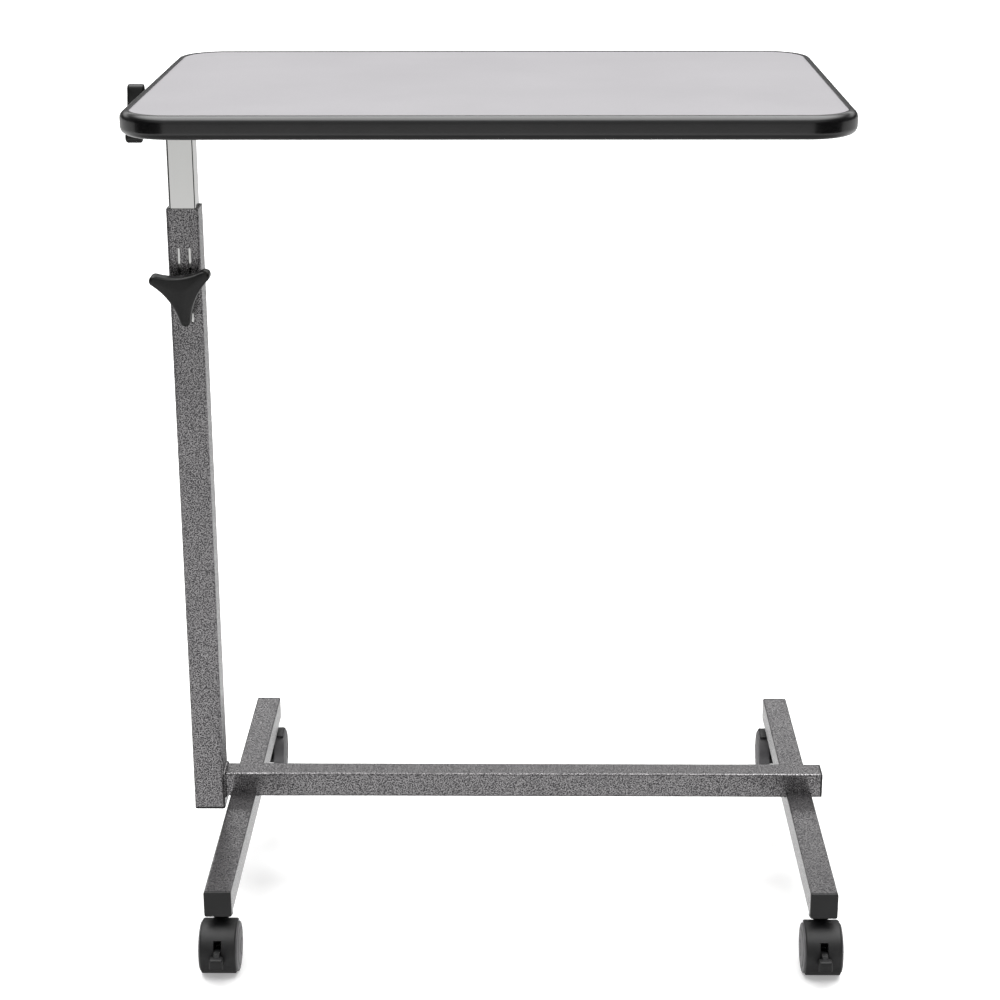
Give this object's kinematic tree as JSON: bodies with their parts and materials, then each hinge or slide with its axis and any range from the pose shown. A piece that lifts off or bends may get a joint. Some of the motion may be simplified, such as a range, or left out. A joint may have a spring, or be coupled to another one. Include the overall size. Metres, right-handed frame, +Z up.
{
  "type": "overbed table",
  "caption": "Overbed table: laminate top with rounded black edge on a tilting, telescopic square post, cantilevered over an open two-foot base on swivel casters.",
  "frame": {"origin": "centre of the overall box, on the floor under the casters", "axes": "+X to the right, away from the post; +Y to the back; +Z up"},
  "size_m": [0.656, 0.4876, 0.7844],
  "materials": {
    "hammertone_tube": "hammertone baked enamel",
    "chrome_tube": "polished chrome plate",
    "black_cap": "moulded polyethylene",
    "grey_laminate": "satin pressed laminate",
    "backing_sheet": "balancing sheet",
    "particle_board": "raw particle board",
    "black_edge": "semi-gloss extruded vinyl",
    "black_knob": "fine-textured moulded nylon",
    "zinc_steel": "zinc plated",
    "black_bracket": "black powder coat",
    "nylon_guide": "moulded nylon",
    "caster_hood": "moulded nylon",
    "caster_wheel": "moulded nylon"
  },
  "bodies": {
    "base": {"base_bar": "hammertone_tube", "bar_end_cap": "black_cap", "outer_post": "hammertone_tube", "post_bottom_cap": "black_cap", "guide_bush": "nylon_guide", "post_weld": "hammertone_tube", "foot_welds": "hammertone_tube", "clamp_strap": "hammertone_tube", "clamp_nut": "zinc_steel", "left_foot": "hammertone_tube", "right_foot": "hammertone_tube", "caster_stems": "zinc_steel", "caster_washers": "zinc_steel", "front_left_foot_cap": "black_cap", "front_right_foot_cap": "black_cap", "rear_left_foot_cap": "black_cap", "rear_right_foot_cap": "black_cap"},
    "telescope": {"inner_tube": "chrome_tube", "inner_tube_glide": "nylon_guide", "pivot_spacer": "zinc_steel"},
    "tabletop": {"board_core": "particle_board", "top_laminate": "grey_laminate", "board_backing": "backing_sheet", "edge_trim": "black_edge", "front_rail": "black_bracket", "rear_rail": "black_bracket", "rail_screws": "zinc_steel", "rail_end_caps": "black_cap", "tilt_bracket": "black_bracket", "bracket_welds": "black_bracket", "pivot_bolt": "zinc_steel", "friction_washers": "nylon_guide"},
    "height_pad": {"height_pad": "zinc_steel"},
    "height_knob": {"height_knob": "black_knob", "height_stud": "zinc_steel"},
    "tilt_washer": {"tilt_washer": "zinc_steel"},
    "tilt_knob": {"tilt_knob": "black_knob", "tilt_knob_insert": "zinc_steel"},
    "front_left_caster": {"front_left_caster_housing": "caster_hood", "front_left_caster_axle": "zinc_steel"},
    "front_left_left_wheel": {"front_left_caster_left_wheel": "caster_wheel"},
    "front_left_right_wheel": {"front_left_caster_right_wheel": "caster_wheel"},
    "front_left_brake": {"front_left_brake_lever": "caster_hood"},
    "front_right_caster": {"front_right_caster_housing": "caster_hood", "front_right_caster_axle": "zinc_steel"},
    "front_right_left_wheel": {"front_right_caster_left_wheel": "caster_wheel"},
    "front_right_right_wheel": {"front_right_caster_right_wheel": "caster_wheel"},
    "front_right_brake": {"front_right_brake_lever": "caster_hood"},
    "rear_left_caster": {"rear_left_caster_housing": "caster_hood", "rear_left_caster_axle": "zinc_steel"},
    "rear_left_left_wheel": {"rear_left_caster_left_wheel": "caster_wheel"},
    "rear_left_right_wheel": {"rear_left_caster_right_wheel": "caster_wheel"},
    "rear_right_caster": {"rear_right_caster_housing": "caster_hood", "rear_right_caster_axle": "zinc_steel"},
    "rear_right_left_wheel": {"rear_right_caster_left_wheel": "caster_wheel"},
    "rear_right_right_wheel": {"rear_right_caster_right_wheel": "caster_wheel"}
  },
  "joints": [
    {"name": "post_height", "type": "slide", "parent": "base", "child": "telescope", "axis": [0, 0, 1], "range_m": [-0.065, 0.185]},
    {"name": "top_tilt", "type": "hinge", "parent": "telescope", "child": "tabletop", "pos_m": [-0.28105, 0.00575, 0.75], "axis": [1, 0, 0], "range_deg": [-40, 40]},
    {"name": "height_pad_slide", "type": "slide", "parent": "base", "child": "height_pad", "axis": [0, -1, 0], "range_m": [0, 0.00156]},
    {"name": "height_knob_turn", "type": "hinge", "parent": "height_pad", "child": "height_knob", "pos_m": [-0.28105, 0.00575, 0.598], "axis": [0, -1, 0], "range_deg": [0, 450]},
    {"name": "tilt_washer_slide", "type": "slide", "parent": "tabletop", "child": "tilt_washer", "axis": [-1, 0, 0], "range_m": [0, 0.00156]},
    {"name": "tilt_knob_turn", "type": "hinge", "parent": "tilt_washer", "child": "tilt_knob", "pos_m": [-0.28105, 0.00575, 0.75], "axis": [-1, 0, 0], "range_deg": [0, 450]},
    {"name": "front_left_swivel", "type": "hinge", "parent": "base", "child": "front_left_caster", "pos_m": [-0.24705, -0.18875, 0.0575], "axis": [0, 0, 1], "continuous": true},
    {"name": "front_left_left_wheel_spin", "type": "hinge", "parent": "front_left_caster", "child": "front_left_left_wheel", "pos_m": [-0.24705, -0.20675, 0.023], "axis": [1, 0, 0], "continuous": true},
    {"name": "front_left_right_wheel_spin", "type": "hinge", "parent": "front_left_caster", "child": "front_left_right_wheel", "pos_m": [-0.24705, -0.20675, 0.023], "axis": [1, 0, 0], "continuous": true},
    {"name": "front_left_brake", "type": "hinge", "parent": "front_left_caster", "child": "front_left_brake", "pos_m": [-0.24705, -0.20675, 0.023], "axis": [-1, 0, 0], "range_deg": [0, 18]},
    {"name": "front_right_swivel", "type": "hinge", "parent": "base", "child": "front_right_caster", "pos_m": [0.30495, -0.18875, 0.0575], "axis": [0, 0, 1], "continuous": true},
    {"name": "front_right_left_wheel_spin", "type": "hinge", "parent": "front_right_caster", "child": "front_right_left_wheel", "pos_m": [0.30495, -0.20675, 0.023], "axis": [1, 0, 0], "continuous": true},
    {"name": "front_right_right_wheel_spin", "type": "hinge", "parent": "front_right_caster", "child": "front_right_right_wheel", "pos_m": [0.30495, -0.20675, 0.023], "axis": [1, 0, 0], "continuous": true},
    {"name": "front_right_brake", "type": "hinge", "parent": "front_right_caster", "child": "front_right_brake", "pos_m": [0.30495, -0.20675, 0.023], "axis": [-1, 0, 0], "range_deg": [0, 18]},
    {"name": "rear_left_swivel", "type": "hinge", "parent": "base", "child": "rear_left_caster", "pos_m": [-0.24705, 0.20025, 0.0575], "axis": [0, 0, 1], "continuous": true},
    {"name": "rear_left_left_wheel_spin", "type": "hinge", "parent": "rear_left_caster", "child": "rear_left_left_wheel", "pos_m": [-0.24705, 0.21825, 0.023], "axis": [1, 0, 0], "continuous": true},
    {"name": "rear_left_right_wheel_spin", "type": "hinge", "parent": "rear_left_caster", "child": "rear_left_right_wheel", "pos_m": [-0.24705, 0.21825, 0.023], "axis": [1, 0, 0], "continuous": true},
    {"name": "rear_right_swivel", "type": "hinge", "parent": "base", "child": "rear_right_caster", "pos_m": [0.30495, 0.20025, 0.0575], "axis": [0, 0, 1], "continuous": true},
    {"name": "rear_right_left_wheel_spin", "type": "hinge", "parent": "rear_right_caster", "child": "rear_right_left_wheel", "pos_m": [0.30495, 0.21825, 0.023], "axis": [1, 0, 0], "continuous": true},
    {"name": "rear_right_right_wheel_spin", "type": "hinge", "parent": "rear_right_caster", "child": "rear_right_right_wheel", "pos_m": [0.30495, 0.21825, 0.023], "axis": [1, 0, 0], "continuous": true}
  ],
  "couplings": [
    {"joint": "height_pad_slide", "follows": "height_knob_turn", "m_per_rad": 0.00019894},
    {"joint": "tilt_washer_slide", "follows": "tilt_knob_turn", "m_per_rad": 0.00019894}
  ]
}
